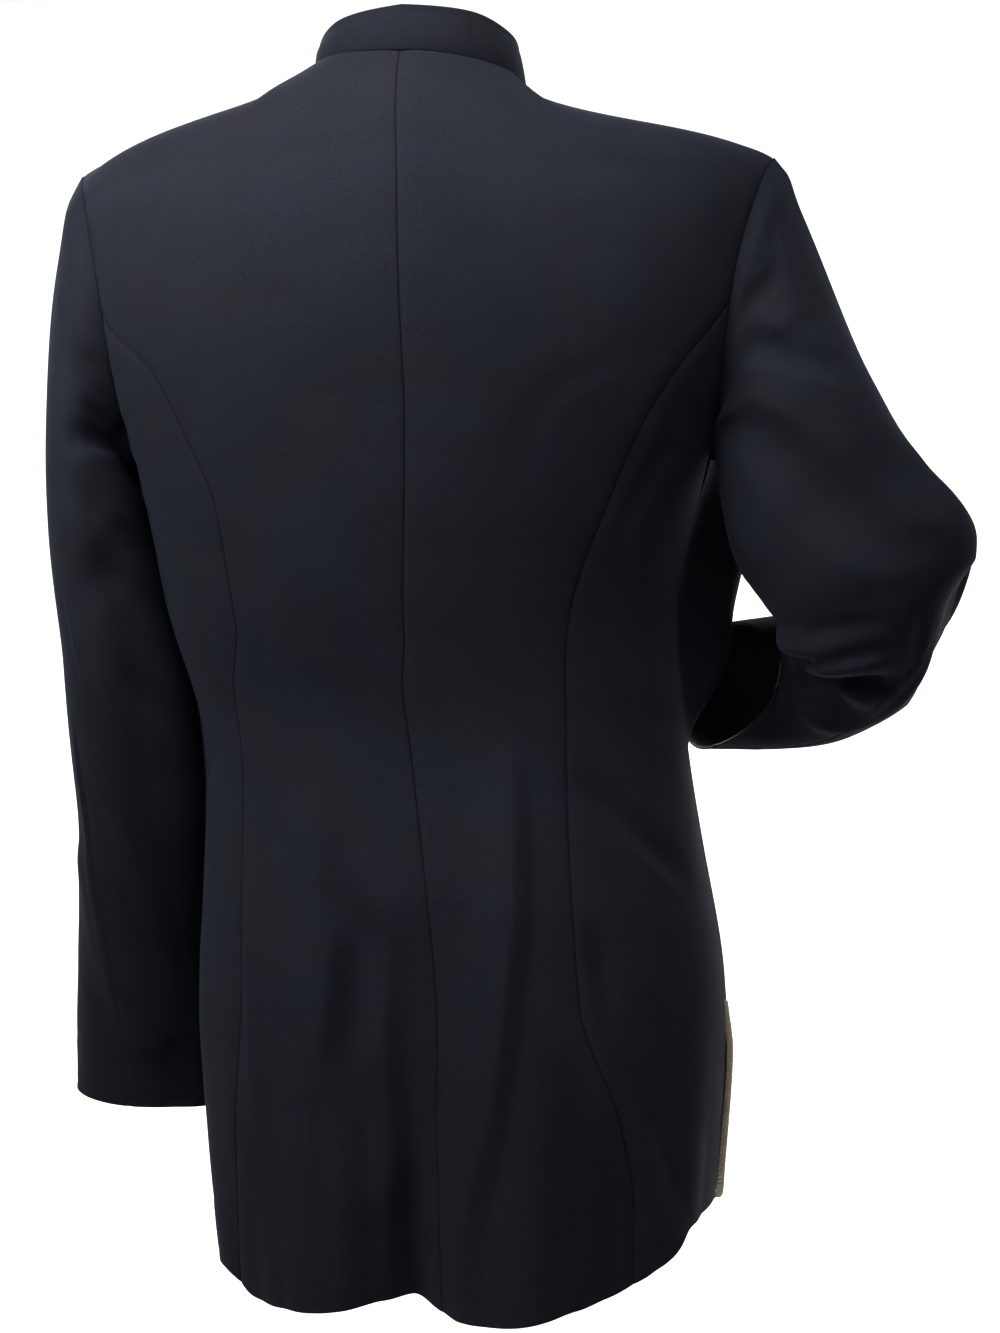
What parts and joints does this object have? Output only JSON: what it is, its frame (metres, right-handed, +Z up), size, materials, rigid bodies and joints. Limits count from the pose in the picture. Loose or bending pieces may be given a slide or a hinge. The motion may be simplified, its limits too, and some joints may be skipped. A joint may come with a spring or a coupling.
{
  "type": "stand-collar jacket",
  "caption": "Hip-length jacket with a stand collar, padded shoulders, long set-in sleeves, princess seams and cord-edged side slits, hollow and held open as worn, one arm bent.",
  "frame": {"origin": "where the wearer's neck and shoulders carry the jacket, level with the collar seam at the centre back and over the middle of the side seams", "axes": "+Z up, +Y towards the jacket's back, -Y its front, +X the wearer's left"},
  "size_m": [0.6055, 0.2829, 0.7968],
  "materials": {
    "back_left": "matt smooth-woven suiting, near black with a little blue",
    "back_right": "matt smooth-woven suiting, near black with a little blue",
    "side_back_left": "matt smooth-woven suiting, near black with a little blue",
    "side_back_right": "matt smooth-woven suiting, near black with a little blue",
    "side_front_left": "matt smooth-woven suiting, near black with a little blue",
    "side_front_right": "matt smooth-woven suiting, near black with a little blue",
    "front_left": "matt smooth-woven suiting, near black with a little blue",
    "front_right": "matt smooth-woven suiting, near black with a little blue",
    "collar": "matt smooth-woven suiting, near black with a little blue",
    "sleeve_left": "matt smooth-woven suiting, near black with a little blue",
    "sleeve_right": "matt smooth-woven suiting, near black with a little blue",
    "cord_left": "pale gold twisted cord with a soft sheen",
    "cord_right": "pale gold twisted cord with a soft sheen"
  },
  "bodies": {
    "root": {"back_left": "back_left", "back_right": "back_right", "side_back_left": "side_back_left", "side_back_right": "side_back_right", "side_front_left": "side_front_left", "side_front_right": "side_front_right", "front_left": "front_left", "front_right": "front_right", "collar": "collar", "sleeve_left": "sleeve_left", "sleeve_right": "sleeve_right", "cord_left": "cord_left", "cord_right": "cord_right"}
  },
  "joints": []
}
